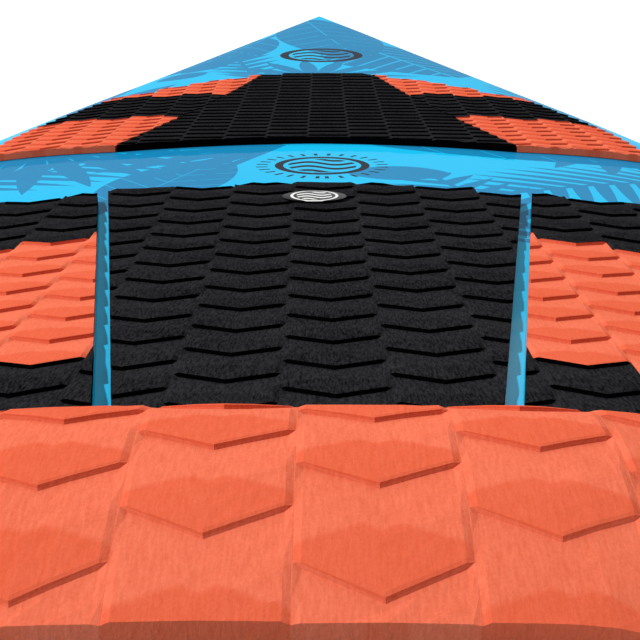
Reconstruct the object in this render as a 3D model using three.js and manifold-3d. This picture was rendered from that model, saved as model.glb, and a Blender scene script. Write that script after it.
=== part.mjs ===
// Strapless surf kiteboard: a directional board with a foam core, laminated skins, three fins,
// foam traction pads on the deck, an arched kick pad, a leash cup and a pressure vent.
// Millimetres. +Y points to the nose, +X to the rider's right and +Z up through the deck.
// The origin is on the flat of the bottom, half way between tail and nose.
// Along the board, places are given as t, the distance forward from the tail.

import * as THREE from "three";
import { mergeVertices } from "three/addons/utils/BufferGeometryUtils.js";
import Module from "manifold-3d";

// Board
const boardLength = 1420;
const boardWidth = 538;
const thickness = 48;
const widestAt = 680; // t of the widest point
const noseCurve = 2; // how much of the nose outline's bend lies near the widest point
const noseFullness = 0.433; // lower is fuller towards the nose tip
const noseTipHalfWidth = 4;
const tailHalfWidth = 75;
const tailCornerRadius = 30;
const tailOutlinePower = 1.85;
const tailThickness = 17.7;
const noseThickness = 14;
const tailThinFrom = 524; // t where the board starts to thin towards the tail
const noseThinFrom = 650;
const tailKick = 41.6; // rocker lift at the tail
const tailKickFrom = 454;
const noseLift = 73;
const noseLiftFrom = 748;
const noseLiftPower = 1.8;
const noseThinPower = 2.6;
const railHeightShare = 0.42; // the rail's widest line, as a share of the local thickness
const deckCrownPower = 3; // higher keeps the deck flatter across and its rails rounder
const bottomFlatShare = 0.6; // the bottom is flat over this share of the half width
const bottomTurnPower = 2.4;
const skin = 2;
const tipWall = 8; // solid laminate at the nose tip
const coreShort = 10; // the core stops this far behind the tip's solid laminate
const stringerThickness = 5;

// Fits
const gap = 0.3; // between pieces that touch
const padGap = 0.4; // glue line between deck and pads
const seam = 1.2; // between neighbouring pads

// Traction pads
const padThickness = 5;
const railMargin = 34; // bare deck between a rear pad and the rail
const channelWidth = 5.6; // blue channel each side of the rear centre pad

const rearPad = {
  front: 496, // t of the front edge on the centreline
  frontDrop: 15, // the front edge falls back by this much at the channel
  halfWidthFront: 111,
  halfWidthRear: 55,
  taperFrom: 183, // t where halfWidthRear is measured
  taperTo: 481, // t where halfWidthFront is measured
  sideFront: 474,
  sideFrontSlope: -0.15,
  inlayFront: 388, // t of the orange inlay's front edge, at inlayFrontAt from the centreline
  inlayFrontAt: 101,
  inlayFrontSlope: -0.26,
  inlayRear: 240,
  inlayRearAt: 71,
  inlayRearSlope: -0.84,
};

const frontPad = {
  front: 981,
  frontDrop: 9,
  rear: 647,
  rearDrop: 24, // how far the rear edge falls back at the wings
  rearDropPower: 1.5,
  halfWidthFront: 54,
  halfWidthRear: 131,
  taperFrom: 628,
  taperTo: 972,
  wingFrontSlope: -0.75,
  railMarginFront: 56, // bare deck between a wing and the rail, at the wing's shoulder
  railMarginRear: 46,
  wingShoulder: 875, // t of the wing's outermost front corner
  bandRear: 863, // t of the orange front band's rear edge at its outer end
  bandRise: 7, // that edge rises by this much towards the centre piece
  bandPower: 0.3,
  bandTip: 12, // the band starts this far outside the centre piece's front corner
  midRear: 749, // t of the black middle band's rear edge
};

const kick = {
  rear: 51, // t of the upright wall at the back
  crest: 102,
  toe: 160,
  height: 26.5, // the wedge's height above its thin front end
  lip: 1.2, // the wedge's thickness at its front end
  backLength: 64, // the back's curve would meet the deck this far behind the crest
  shoulderPower: 10, // higher keeps the crest level further out before it rolls down
};

const badge = { at: 456, halfWidth: 16.5, halfLength: 12, thickness: 0.6, gap: 0.3 };

// Fins and their boxes
const finBox = { length: 128, width: 13, depth: 14, slotLength: 106, slotDepth: 11 };
const fin = {
  base: 112,
  height: 115,
  thickness: 6,
  rake: 62,
  rakePower: 1.35,
  tipShare: 0.2, // the tip's chord, as a share of the base
  taperPower: 1.7,
  tipThinShare: 0.35, // the tip's thickness, as a share of the base's
  edge: 0.5, // half the thickness left at the leading and trailing edges
};
const finScrew = { radius: 2.5, length: 8, setback: 6, sunk: 0.5 };
const fitClearance = 0.3;
const cutPast = 20; // a cutting solid runs this far past the faces it opens
const centreFin = { t: 122 };
const sideFin = { t: 312, railInset: 40, toeIn: 0.05, cant: 0.1 };

// Deck fittings behind the kick pad
const fittingAt = 26; // t of both fittings
const leashCup = { flangeRadius: 13, radius: 10.5, wall: 1.5, depth: 13, flange: 1.4 };
const leashPin = { radius: 1.6, drop: 4.5, endGap: 0.5 };
const vent = { x: 36, flangeRadius: 10, radius: 7.5, depth: 11, flange: 1.4, boreRadius: 4, floor: 1.5 };
const ventScrew = { headRadius: 6.6, head: 2.2, radius: 3.6, length: 8, slotWidth: 1.6, slotDepth: 1 };
const ventSeal = { outer: 5.8, inner: 4.2, height: 1.2 };

const wasm = await Module();
wasm.setup();

const colours = {
  blue: { color: 0x2bb3df, roughness: 0.18, metalness: 0 },
  white: { color: 0xe9ecec, roughness: 0.3, metalness: 0 },
  foam: { color: 0xf3f2ea, roughness: 0.9, metalness: 0 },
  wood: { color: 0xc79f6a, roughness: 0.7, metalness: 0 },
  black: { color: 0x222326, roughness: 0.85, metalness: 0 },
  orange: { color: 0xed7553, roughness: 0.85, metalness: 0 },
  plastic: { color: 0x1b1c1f, roughness: 0.45, metalness: 0 },
  steel: { color: 0xb9bcc0, roughness: 0.3, metalness: 1 },
};

const board = new THREE.Group();

function place(geometry, name, colour, parent = board) {
  const mesh = new THREE.Mesh(geometry, new THREE.MeshStandardMaterial(colours[colour]));
  mesh.name = name;
  parent.add(mesh);
  return mesh;
}

// ---- the board's surfaces -------------------------------------------------------------------

const above = (value) => Math.max(0, value);
const mix = (a, b, s) => a + (b - a) * s;
const yOf = (t) => t - boardLength / 2;

function halfWidth(t) {
  const half = boardWidth / 2;
  if (t >= widestAt) {
    const x = above((boardLength - t) / (boardLength - widestAt));
    const share = Math.sin((Math.PI / 2) * x ** noseCurve) ** noseFullness;
    return noseTipHalfWidth + (half - noseTipHalfWidth) * share;
  }
  const body = half - (half - tailHalfWidth) * ((widestAt - t) / widestAt) ** tailOutlinePower;
  const inCorner = above(tailCornerRadius - t);
  return body - tailCornerRadius + Math.sqrt(tailCornerRadius ** 2 - inCorner ** 2);
}

function rocker(t) {
  const tail = tailKick * above((tailKickFrom - t) / tailKickFrom) ** 2;
  const nose = noseLift * above((t - noseLiftFrom) / (boardLength - noseLiftFrom)) ** noseLiftPower;
  return tail + nose;
}

function thicknessAt(t) {
  const tail = (thickness - tailThickness) * above(1 - t / tailThinFrom) ** 2;
  const towardsNose = above((t - noseThinFrom) / (boardLength - noseThinFrom));
  const nose = (thickness - noseThickness) * towardsNose ** noseThinPower;
  return thickness - tail - nose;
}

const railLine = (t) => rocker(t) + railHeightShare * thicknessAt(t);

// Height of the deck's outer face, lowered by an inset, at a share a of the half width.
function deckHeight(t, a, inset = 0) {
  const rise = (1 - railHeightShare) * thicknessAt(t) - gap / 2 - inset;
  return railLine(t) + gap / 2 + rise * Math.sqrt(above(1 - Math.abs(a) ** deckCrownPower));
}

// Height of the bottom's outer face, raised by an inset: flat in the middle, then turned up.
function bottomHeight(t, a, inset = 0) {
  const drop = railHeightShare * thicknessAt(t) - gap / 2 - inset;
  const turn = above((Math.abs(a) - bottomFlatShare) / (1 - bottomFlatShare));
  return railLine(t) - gap / 2 - drop * Math.sqrt(above(1 - turn ** bottomTurnPower));
}

const deckAt = (x, t) => deckHeight(t, x / halfWidth(t));
const bottomAt = (x, t) => bottomHeight(t, x / halfWidth(t));

// ---- solids from two facing grids of points -------------------------------------------------

function slab(top, bottom) {
  const rows = top.length;
  const columns = top[0].length;
  const positions = [...top, ...bottom].flat().flat();
  const half = rows * columns;
  const at = (i, j) => i * columns + j;
  const index = [];
  const quad = (a, b, c, d) => index.push(a, b, c, a, c, d);
  for (let i = 0; i < rows - 1; i++) {
    for (let j = 0; j < columns - 1; j++) {
      quad(at(i, j), at(i, j + 1), at(i + 1, j + 1), at(i + 1, j));
      quad(half + at(i, j), half + at(i + 1, j), half + at(i + 1, j + 1), half + at(i, j + 1));
    }
  }
  for (let i = 0; i < rows - 1; i++) {
    const last = columns - 1;
    quad(at(i, 0), at(i + 1, 0), half + at(i + 1, 0), half + at(i, 0));
    quad(at(i + 1, last), at(i, last), half + at(i, last), half + at(i + 1, last));
  }
  for (let j = 0; j < columns - 1; j++) {
    const last = rows - 1;
    quad(at(0, j + 1), at(0, j), half + at(0, j), half + at(0, j + 1));
    quad(at(last, j), at(last, j + 1), half + at(last, j + 1), half + at(last, j));
  }
  const geometry = new THREE.BufferGeometry();
  geometry.setAttribute("position", new THREE.Float32BufferAttribute(positions, 3));
  geometry.setIndex(index);
  return geometry;
}

const steps = (count) => Array.from({ length: count + 1 }, (_, i) => i / count);

// A share of the half width for each point across, closer together towards the rail.
const crossCount = 7;
const across = steps(crossCount).map((s) => Math.sin((s * Math.PI) / 2));
const acrossBoth = [...across.slice(1).reverse().map((a) => -a), ...across];

const lengthCount = 25;
const cornerStations = steps(3).map((s) => tailCornerRadius * (1 - Math.cos((s * Math.PI) / 2)));
const coreEnd = boardLength - tipWall - coreShort;
const bodyStations = steps(lengthCount)
  .slice(1)
  .map((s) => mix(tailCornerRadius, coreEnd, s));

// ---- manifold cuts --------------------------------------------------------------------------

function solidOf(geometry) {
  const bare = geometry.clone();
  bare.deleteAttribute("normal");
  bare.deleteAttribute("uv");
  const merged = mergeVertices(bare, 1e-4);
  const vertProperties = new Float32Array(merged.attributes.position.array);
  const triVerts = new Uint32Array(merged.index.array);
  return new wasm.Manifold(new wasm.Mesh({ numProp: 3, vertProperties, triVerts }));
}

function geometryOf(solid) {
  const mesh = solid.getMesh();
  const geometry = new THREE.BufferGeometry();
  geometry.setAttribute("position", new THREE.BufferAttribute(mesh.vertProperties, 3));
  geometry.setIndex(new THREE.BufferAttribute(mesh.triVerts, 1));
  return geometry;
}

function cut(geometry, tools) {
  const solid = tools.reduce((left, tool) => left.subtract(solidOf(tool)), solidOf(geometry));
  return geometryOf(solid);
}

const join = (a, b) => geometryOf(solidOf(a).add(solidOf(b)));

// The same geometry moved by a group's matrix, for cutting pieces outside that group.
function inBoard(geometry, group) {
  group.updateMatrixWorld(true);
  return geometry.clone().applyMatrix4(group.matrixWorld);
}

function block(x0, x1, y0, y1, z0, z1) {
  const geometry = new THREE.BoxGeometry(x1 - x0, y1 - y0, z1 - z0);
  return geometry.translate((x0 + x1) / 2, (y0 + y1) / 2, (z0 + z1) / 2);
}

// A round solid about +Z from a closed profile of [radius, height] points.
function turned(profile, sides = 24) {
  const points = profile.map(([r, z]) => new THREE.Vector2(r, z));
  return new THREE.LatheGeometry(points, sides).rotateX(Math.PI / 2);
}

const disc = (radius, z0, z1, sides = 24) => turned([[0, z0], [radius, z0], [radius, z1], [0, z1]], sides);

// ---- fins, boxes and screws -----------------------------------------------------------------

// A group whose +Z is square to the bottom at a point, with its XY plane on the bottom's face.
function bottomFrame(x, t, turn, lean) {
  const group = new THREE.Group();
  const slope = (bottomAt(x, t + 1) - bottomAt(x, t - 1)) / 2;
  group.position.set(x, yOf(t), bottomAt(x, t));
  group.rotation.set(Math.atan(slope), lean, turn, "ZYX");
  board.add(group);
  return group;
}

function finBoxBody() {
  const slotHalf = fin.thickness / 2 + fitClearance;
  const halfX = finBox.width / 2;
  const halfY = finBox.length / 2;
  const outer = block(-halfX, halfX, -halfY, halfY, 0, finBox.depth);
  const slotFront = finBox.slotLength / 2 - finScrew.setback;
  const slot = block(-slotHalf, slotHalf, slotFront - finBox.slotLength, slotFront, -1, finBox.slotDepth);
  const hole = disc(finScrew.radius + fitClearance, -1, finScrew.length + 1, 16).translate(0, screwY(), 0);
  return cut(outer, [slot, hole]);
}

const screwY = () => finBox.length / 2 - finScrew.setback;

function finBody() {
  const spanSteps = steps(7);
  const chordSteps = steps(8);
  const side = (sign) =>
    spanSteps.map((v) => {
      const chord = fin.base * mix(1, fin.tipShare, v ** fin.taperPower);
      const leading = fin.base / 2 - fin.rake * v ** fin.rakePower;
      const z = -gap - fin.height * v;
      return chordSteps.map((u) => {
        // A rounded nose and a fine tail, thickest (1) at a third of the chord.
        const foil = Math.sqrt(3 * u) * (1 - u) * 1.5;
        const half = fin.edge + (fin.thickness / 2 - fin.edge) * foil * mix(1, fin.tipThinShare, v);
        return [sign * half, leading - chord * u, z];
      });
    });
  const blade = slab(side(1), side(-1));
  const tabHalf = fin.thickness / 2;
  const front = finBox.slotLength / 2 - finScrew.setback - fitClearance;
  const rear = front - finBox.slotLength + 2 * fitClearance;
  const tab = block(-tabHalf, tabHalf, rear, front, -gap - 1, finBox.slotDepth - fitClearance);
  return join(blade, tab);
}

function finSet(label, x, t, turn, lean) {
  const group = bottomFrame(x, t, turn, lean);
  place(finBoxBody(), `fin_box_${label}`, "plastic", group);
  place(finBody(), `fin_${label}`, "plastic", group);
  const screw = disc(finScrew.radius, finScrew.sunk, finScrew.length, 16).translate(0, screwY(), 0);
  place(screw, `fin_screw_${label}`, "steel", group);
  const roomX = finBox.width / 2 + gap;
  const roomY = finBox.length / 2 + gap;
  const room = block(-roomX, roomX, -roomY, roomY, -cutPast, finBox.depth + gap);
  return inBoard(room, group);
}

const sideFinX = halfWidth(sideFin.t) - sideFin.railInset;
const bottomCuts = [
  finSet("center", 0, centreFin.t, 0, 0),
  finSet("left", -sideFinX, sideFin.t, -sideFin.toeIn, sideFin.cant),
  finSet("right", sideFinX, sideFin.t, sideFin.toeIn, -sideFin.cant),
];

// ---- leash cup and vent ---------------------------------------------------------------------

// A group whose +Z is square to the deck at a point, with its XY plane just clear of the deck.
function deckFrame(x, t) {
  const group = new THREE.Group();
  const reach = 5; // the slopes are measured this far each side of the point
  const slope = (deckAt(x, t + reach) - deckAt(x, t - reach)) / (2 * reach);
  const lean = (deckAt(x + reach, t) - deckAt(x - reach, t)) / (2 * reach);
  group.position.set(x, yOf(t), deckAt(x, t) + padGap);
  group.rotation.set(Math.atan(slope), -Math.atan(lean), 0);
  board.add(group);
  return group;
}

function leashFitting() {
  const group = deckFrame(0, fittingAt);
  const inner = leashCup.radius - leashCup.wall;
  const profile = [
    [0, -leashCup.depth],
    [leashCup.radius, -leashCup.depth],
    [leashCup.radius, 0],
    [leashCup.flangeRadius, 0],
    [leashCup.flangeRadius, leashCup.flange],
    [inner, leashCup.flange],
    [inner, leashCup.wall - leashCup.depth],
    [0, leashCup.wall - leashCup.depth],
  ];
  const along = (radius, half) =>
    new THREE.CylinderGeometry(radius, radius, 2 * half, 12)
      .rotateZ(Math.PI / 2)
      .translate(0, 0, -leashPin.drop);
  const cup = cut(turned(profile), [along(leashPin.radius + gap, leashCup.radius + 1)]);
  place(cup, "leash_cup", "plastic", group);
  place(along(leashPin.radius, leashCup.radius - leashPin.endGap), "leash_pin", "steel", group);
  return inBoard(disc(leashCup.radius + gap, -leashCup.depth - gap, cutPast), group);
}

function ventFitting() {
  const group = deckFrame(vent.x, fittingAt);
  const body = turned([
    [0, -vent.depth],
    [vent.radius, -vent.depth],
    [vent.radius, 0],
    [vent.flangeRadius, 0],
    [vent.flangeRadius, vent.flange],
    [vent.boreRadius, vent.flange],
    [vent.boreRadius, vent.floor - vent.depth],
    [0, vent.floor - vent.depth],
  ]);
  place(body, "vent_body", "plastic", group);
  const sealBase = vent.flange + gap;
  const seal = turned([
    [ventSeal.inner, sealBase],
    [ventSeal.outer, sealBase],
    [ventSeal.outer, sealBase + ventSeal.height],
    [ventSeal.inner, sealBase + ventSeal.height],
    [ventSeal.inner, sealBase],
  ]);
  place(seal, "vent_seal", "black", group);
  const headBase = sealBase + ventSeal.height + gap;
  const shank = turned([
    [0, headBase - ventScrew.length],
    [ventScrew.radius, headBase - ventScrew.length],
    [ventScrew.radius, headBase],
    [ventScrew.headRadius, headBase],
    [ventScrew.headRadius, headBase + ventScrew.head],
    [0, headBase + ventScrew.head],
  ]);
  const top = headBase + ventScrew.head;
  const slotHalf = ventScrew.slotWidth / 2;
  const slot = block(-cutPast, cutPast, -slotHalf, slotHalf, top - ventScrew.slotDepth, top + cutPast);
  place(cut(shank, [slot]), "vent_screw", "steel", group);
  return inBoard(disc(vent.radius + gap, -vent.depth - gap, cutPast), group);
}

const deckCuts = [leashFitting(), ventFitting()];

// ---- skins, core and stringer ---------------------------------------------------------------

// Stations with a solid wall at the tail and at the nose tip, and a thin shell between them.
const wallStep = 0.05; // a shell turns into a solid wall over this length
const shellStations = [
  { t: 0, solid: true },
  { t: skin, solid: true },
  { t: skin + wallStep, solid: false },
  ...[...cornerStations.slice(1), ...bodyStations, boardLength - tipWall]
    .filter((t) => t > skin + 1)
    .map((t) => ({ t, solid: false })),
  { t: boardLength - tipWall + wallStep, solid: true },
  { t: boardLength, solid: true },
];

function shellRow(t, height, inset, solid) {
  const b = halfWidth(t) - inset;
  return acrossBoth.map((a) => {
    const z = solid ? height(t, 1) : height(t, a, inset);
    return [a * b, yOf(t), z];
  });
}

function deckSkin() {
  const outer = shellStations.map(({ t }) => shellRow(t, deckHeight, 0, false));
  const inner = shellStations.map(({ t, solid }) => shellRow(t, deckHeight, skin, solid));
  return cut(slab(outer, inner), deckCuts);
}

function bottomSkin() {
  const outer = shellStations.map(({ t }) => shellRow(t, bottomHeight, 0, false));
  const inner = shellStations.map(({ t, solid }) => shellRow(t, bottomHeight, skin, solid));
  return cut(slab(inner, outer), bottomCuts);
}

const coreStations = [skin + gap + wallStep, ...cornerStations.slice(2), ...bodyStations];

function coreHalf(side) {
  const innerX = stringerThickness / 2 + gap;
  const grid = (height, shift) =>
    coreStations.map((t) => {
      const b = halfWidth(t) - skin;
      const shares = across.slice(0, -1);
      const rail = shares[shares.length - 1] * b;
      // Points across from the stringer to the rail, in one order for both sides.
      const xs = shares.map((a) => Math.max(innerX, Math.min(rail, a * b)));
      // A hair between points keeps them apart where the core is narrower than its stringer slot.
      const spread = xs.map((x, j) => (rail > innerX + 1 ? x + j * 0.001 : innerX + j * 0.05));
      const row = spread.map((x) => [side * x, yOf(t), height(t, x / b, skin) + shift]);
      return side > 0 ? row : row.reverse();
    });
  const foam = slab(grid(deckHeight, -gap), grid(bottomHeight, gap));
  return cut(foam, [...deckCuts, ...bottomCuts]);
}

function stringer() {
  const half = stringerThickness / 2;
  const grid = (height, shift) =>
    coreStations.map((t) => [-half, half].map((x) => [x, yOf(t), height(t, 0, skin) + shift]));
  const strip = slab(grid(deckHeight, -2 * gap), grid(bottomHeight, 2 * gap));
  return cut(strip, [...deckCuts, ...bottomCuts]);
}

place(deckSkin(), "deck_skin", "blue");
place(bottomSkin(), "bottom_skin", "white");
place(coreHalf(-1), "core_left", "foam");
place(coreHalf(1), "core_right", "foam");
place(stringer(), "stringer", "wood");

// ---- traction pads --------------------------------------------------------------------------

// A pad's plan: inner and outer edges are x as a function of t, front and rear edges are t as a
// function of x. Rows run from rear to front and columns from the inner to the outer edge.
function padPlan({ inner, outer, rear, front }, rows, columns) {
  // Where an edge curve crosses the line at share s between the two sides, found by repetition.
  const edge = (curve, s) => {
    let t = boardLength / 3;
    for (let pass = 0; pass < 30; pass++) t = mix(t, curve(mix(inner(t), outer(t), s)), 0.6);
    return t;
  };
  const ends = steps(columns).map((s) => [edge(rear, s), edge(front, s)]);
  return steps(rows).map((r) =>
    steps(columns).map((s, j) => {
      const t = mix(ends[j][0], ends[j][1], r);
      return [mix(inner(t), outer(t), s), t];
    }),
  );
}

// A pad between two heights above the deck, on the right (side 1) or mirrored (side -1).
function padBody(plan, side, from, to) {
  const lift = (height) =>
    plan.map((row) => {
      const points = row.map(([x, t]) => {
        const rise = typeof height === "function" ? height(t, x) : height;
        return [side * x, yOf(t), deckAt(x, t) + rise];
      });
      return side > 0 ? points : points.reverse();
    });
  return slab(lift(to), lift(from));
}

function pad(name, colour, edges, rows, columns, side = 1) {
  const plan = padPlan(edges, rows, columns);
  place(padBody(plan, side, padGap, padGap + padThickness), name, colour);
}

const line = (x0, y0, x1, y1) => (x) => mix(y0, y1, (x - x0) / (x1 - x0));
const shifted = (curve, by) => (x) => curve(x) + by;
const halfSeam = seam / 2;

// Rear pads
const centreEdge = line(
  rearPad.taperFrom,
  rearPad.halfWidthRear,
  rearPad.taperTo,
  rearPad.halfWidthFront,
);
const channelEdge = shifted(centreEdge, channelWidth);
const padRailEdge = (t) => halfWidth(t) - railMargin;
const kickFrontEdge = () => kick.toe + halfSeam;

pad(
  "rear_pad_center",
  "black",
  {
    inner: (t) => -centreEdge(t),
    outer: centreEdge,
    rear: kickFrontEdge,
    front: (x) => rearPad.front - (rearPad.frontDrop * Math.abs(x)) / rearPad.halfWidthFront,
  },
  10,
  10,
);

const inlayFront = (x) => rearPad.inlayFront + rearPad.inlayFrontSlope * (x - rearPad.inlayFrontAt);
const inlayRear = (x) => rearPad.inlayRear + rearPad.inlayRearSlope * (x - rearPad.inlayRearAt);
const sideFront = (x) => rearPad.sideFront + rearPad.sideFrontSlope * (x - rearPad.halfWidthFront);

for (const [label, side] of [["left", -1], ["right", 1]]) {
  const sides = { inner: channelEdge, outer: padRailEdge };
  const front = { ...sides, rear: shifted(inlayFront, halfSeam), front: sideFront };
  const inlay = { ...sides, rear: shifted(inlayRear, halfSeam), front: shifted(inlayFront, -halfSeam) };
  const rear = { ...sides, rear: kickFrontEdge, front: shifted(inlayRear, -halfSeam) };
  pad(`rear_pad_${label}_front`, "black", front, 3, 4, side);
  pad(`rear_pad_${label}_inlay`, "orange", inlay, 5, 4, side);
  pad(`rear_pad_${label}_rear`, "black", rear, 2, 3, side);
}

// Front pad
const frontSide = line(
  frontPad.taperFrom,
  frontPad.halfWidthRear,
  frontPad.taperTo,
  frontPad.halfWidthFront,
);
const wingMargin = line(
  frontPad.taperFrom,
  frontPad.railMarginRear,
  frontPad.wingShoulder,
  frontPad.railMarginFront,
);
const wingOuter = (t) => halfWidth(t) - wingMargin(t);
const shoulderX = wingOuter(frontPad.wingShoulder);
const frontRear = (x) => {
  const outward = Math.min(1, Math.abs(x) / frontPad.halfWidthRear);
  return frontPad.rear - frontPad.rearDrop * outward ** frontPad.rearDropPower;
};
const wingFront = (x) => frontPad.taperTo + frontPad.wingFrontSlope * (x - frontPad.halfWidthFront);
const bandRear = (x) => {
  const share = above((shoulderX - x) / (shoulderX - frontPad.halfWidthFront - frontPad.bandTip));
  return frontPad.bandRear + frontPad.bandRise * share ** frontPad.bandPower;
};
const midRear = () => frontPad.midRear;

pad(
  "front_pad_center",
  "black",
  {
    inner: (t) => halfSeam - frontSide(t),
    outer: (t) => frontSide(t) - halfSeam,
    rear: frontRear,
    front: (x) => frontPad.front - frontPad.frontDrop * (x / frontPad.halfWidthFront) ** 2,
  },
  9,
  8,
);

for (const [label, side] of [["left", -1], ["right", 1]]) {
  const sides = { inner: shifted(frontSide, halfSeam), outer: wingOuter };
  const tip = { ...sides, rear: shifted(bandRear, halfSeam), front: wingFront };
  const middle = { ...sides, rear: shifted(midRear, halfSeam), front: shifted(bandRear, -halfSeam) };
  const rear = { ...sides, rear: frontRear, front: shifted(midRear, -halfSeam) };
  pad(`front_pad_${label}_tip`, "orange", tip, 2, 6, side);
  pad(`front_pad_${label}_middle`, "black", middle, 4, 5, side);
  pad(`front_pad_${label}_rear`, "orange", rear, 4, 4, side);
}

// ---- kick pad -------------------------------------------------------------------------------

// The foam wedge's height above the deck: an arched back that ends in an upright wall, and a
// smooth ramp towards the nose.
function wedgeHeight(t, x) {
  const shoulder = Math.sqrt(above(1 - Math.abs(x / padRailEdge(t)) ** kick.shoulderPower));
  if (t < kick.crest) {
    const back = (kick.crest - t) / kick.backLength;
    return kick.lip + kick.height * shoulder * (1 - back ** 2);
  }
  const ramp = Math.min(1, (t - kick.crest) / (kick.toe - kick.crest));
  return kick.lip + kick.height * shoulder * (0.5 + 0.5 * Math.cos(Math.PI * ramp));
}

const kickPlan = steps(12).map((r) => {
  const t = mix(kick.rear, kick.toe - halfSeam, r);
  return acrossBoth.map((a) => [a * padRailEdge(t), t]);
});
const wedgeTop = (t, x) => padGap + wedgeHeight(t, x);
const kickUnder = (t, x) => wedgeTop(t, x) + padGap;
const kickTop = (t, x) => kickUnder(t, x) + padThickness;
place(padBody(kickPlan, 1, padGap, wedgeTop), "kick_wedge", "black");
place(padBody(kickPlan, 1, kickUnder, kickTop), "kick_pad", "orange");

// ---- badge ----------------------------------------------------------------------------------

function badgeBody() {
  const shape = new THREE.Shape();
  shape.absellipse(0, 0, badge.halfWidth, badge.halfLength, 0, 2 * Math.PI);
  const settings = { depth: badge.thickness, bevelEnabled: false, curveSegments: 14 };
  const plate = new THREE.ExtrudeGeometry(shape, settings);
  const base = deckAt(0, badge.at) + padGap + padThickness + badge.gap;
  return plate.translate(0, yOf(badge.at), base);
}

place(badgeBody(), "pad_badge", "white");

export default board;
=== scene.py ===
import math
from functools import partial

import bmesh
import bpy
from mathutils import Matrix, Vector


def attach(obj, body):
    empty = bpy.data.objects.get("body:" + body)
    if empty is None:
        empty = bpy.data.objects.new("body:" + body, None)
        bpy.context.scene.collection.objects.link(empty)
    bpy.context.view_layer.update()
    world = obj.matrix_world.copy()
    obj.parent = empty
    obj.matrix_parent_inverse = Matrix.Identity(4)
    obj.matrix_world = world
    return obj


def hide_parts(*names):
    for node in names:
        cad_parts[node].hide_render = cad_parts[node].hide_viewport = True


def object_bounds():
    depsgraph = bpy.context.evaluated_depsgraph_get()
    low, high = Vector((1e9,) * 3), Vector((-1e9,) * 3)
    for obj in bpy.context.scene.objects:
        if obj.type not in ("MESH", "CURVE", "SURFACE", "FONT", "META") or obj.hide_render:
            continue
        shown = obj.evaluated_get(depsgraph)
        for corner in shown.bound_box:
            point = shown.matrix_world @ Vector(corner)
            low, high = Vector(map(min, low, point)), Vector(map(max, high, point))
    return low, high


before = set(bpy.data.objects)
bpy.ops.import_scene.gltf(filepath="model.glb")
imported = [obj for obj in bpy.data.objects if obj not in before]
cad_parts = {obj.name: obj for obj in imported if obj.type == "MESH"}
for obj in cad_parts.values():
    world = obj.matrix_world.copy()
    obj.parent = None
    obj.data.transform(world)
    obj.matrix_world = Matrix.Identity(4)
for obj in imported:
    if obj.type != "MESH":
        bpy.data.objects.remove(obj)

cad_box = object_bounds()
scene = bpy.context.scene


# ---- Camera, light and floor ----------------------------------------------------------------
# The board stands on its fins and is seen low from behind the tail. A crisp lamp stands to the
# left, the room is white in front of the nose and dimmer behind the tail.

camera_data = bpy.data.cameras.new("camera")
camera_data.sensor_width = 36.0
camera_data.lens = 61.9
camera_data.clip_start = 0.01
camera = bpy.data.objects.new("camera", camera_data)
camera.location = (0.004, cad_box[0].y - 0.1005, 0.175)
camera.rotation_euler = (math.radians(90 - 18.74), 0.0, 0.002)
scene.collection.objects.link(camera)
scene.camera = camera
scene.view_settings.view_transform = "Standard"


def sun(name, from_direction, strength, width_degrees, colour):
    data = bpy.data.lights.new(name, "SUN")
    data.energy = strength
    data.angle = math.radians(width_degrees)
    data.color = colour
    lamp = bpy.data.objects.new(name, data)
    lamp.rotation_euler = Vector(from_direction).to_track_quat("Z", "Y").to_euler()
    scene.collection.objects.link(lamp)


sun("left_lamp", (-1.0, -0.42, 1.15), 3.7, 4.0, (1.0, 0.985, 0.96))
sun("nose_lamp", (0.35, 1.0, 0.75), 0.7, 40.0, (1.0, 1.0, 1.0))


def white_room():
    """White in front of the nose and above, dimmer behind the tail."""
    world = bpy.data.worlds.new("room")
    scene.world = world
    world.use_nodes = True
    nodes = world.node_tree.nodes
    links = world.node_tree.links
    place = nodes.new("ShaderNodeTexCoord")
    split = nodes.new("ShaderNodeSeparateXYZ")
    range_y = nodes.new("ShaderNodeMapRange")
    range_y.inputs["From Min"].default_value = -0.7
    range_y.inputs["From Max"].default_value = 0.5
    range_y.inputs["To Min"].default_value = 0.13
    range_y.inputs["To Max"].default_value = 0.82
    links.new(place.outputs["Generated"], split.inputs[0])
    links.new(split.outputs["Y"], range_y.inputs["Value"])
    links.new(range_y.outputs["Result"], nodes["Background"].inputs["Strength"])
    nodes["Background"].inputs["Color"].default_value = (0.96, 0.98, 1.0, 1.0)


white_room()


def material(name, base=(0.8, 0.8, 0.8), roughness=0.5, metallic=0.0, **sockets):
    """A new material with its Principled BSDF, whose plain sockets are set directly."""
    made = bpy.data.materials.new(name)
    made.use_nodes = True
    shader = made.node_tree.nodes["Principled BSDF"]
    shader.inputs["Base Color"].default_value = (*base, 1.0)
    shader.inputs["Roughness"].default_value = roughness
    shader.inputs["Metallic"].default_value = metallic
    for socket, value in sockets.items():
        shader.inputs[socket.replace("_", " ")].default_value = value
    return made, shader


def floor():
    half = 30.0
    low = cad_box[0].z - 0.0005
    mesh = bpy.data.meshes.new("floor")
    corners = [(-half, -half, low), (half, -half, low), (half, half, low), (-half, half, low)]
    mesh.from_pydata(corners, [], [(0, 1, 2, 3)])
    made, shader = material("pale_floor", (0.93, 0.93, 0.93), 0.9)
    mesh.materials.append(made)
    ground = bpy.data.objects.new("floor", mesh)
    scene.collection.objects.link(ground)


floor()


# ---- The board's shape ----------------------------------------------------------------------
# One outline, one rocker and one thickness, along t, the distance forward from the tail. Every
# shell and pad below is laid on these.

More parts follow.
